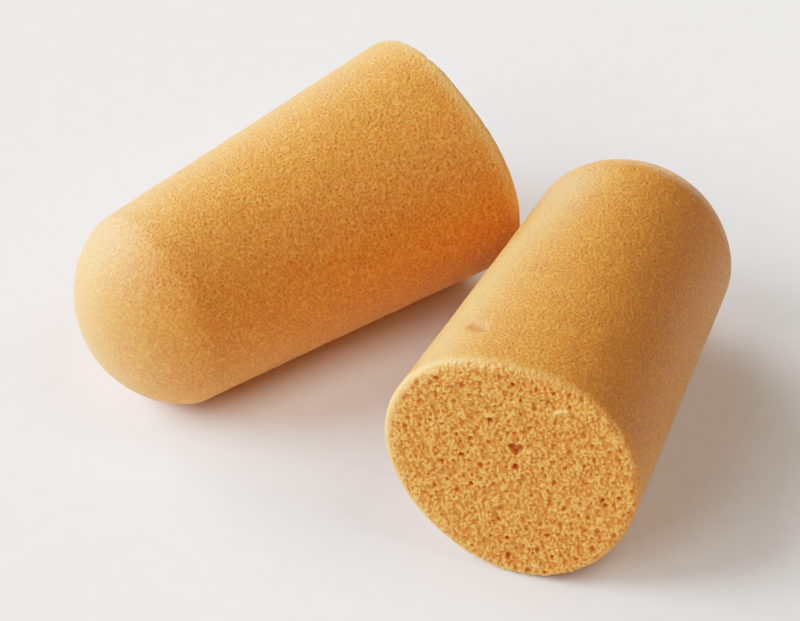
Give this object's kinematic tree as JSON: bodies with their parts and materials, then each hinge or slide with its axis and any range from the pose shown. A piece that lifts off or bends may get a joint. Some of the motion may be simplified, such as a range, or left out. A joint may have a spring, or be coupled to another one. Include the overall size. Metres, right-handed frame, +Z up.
{
  "type": "foam ear plugs",
  "caption": "Loose pair of tapered foam ear plugs with domed tips and flat cut bases, for blocking noise.",
  "frame": {"origin": "on the surface the plugs lie on, under the middle of the pair's box", "axes": "+Z up from the surface; +X across the pair, from the left plug's tip to the right plug's tip; +Y away from the right plug's base"},
  "size_m": [0.0364, 0.034, 0.0129],
  "materials": {
    "foam": "matte soft foam with a fine skin, open pores on the cut base"
  },
  "bodies": {
    "left_plug": {"left_plug": "foam"},
    "right_plug": {"right_plug": "foam"}
  },
  "joints": [
    {"name": "right_plug_lift", "type": "slide", "parent": "left_plug", "child": "right_plug", "axis": [0, 0, 1], "range_m": [0, 0.03]}
  ]
}
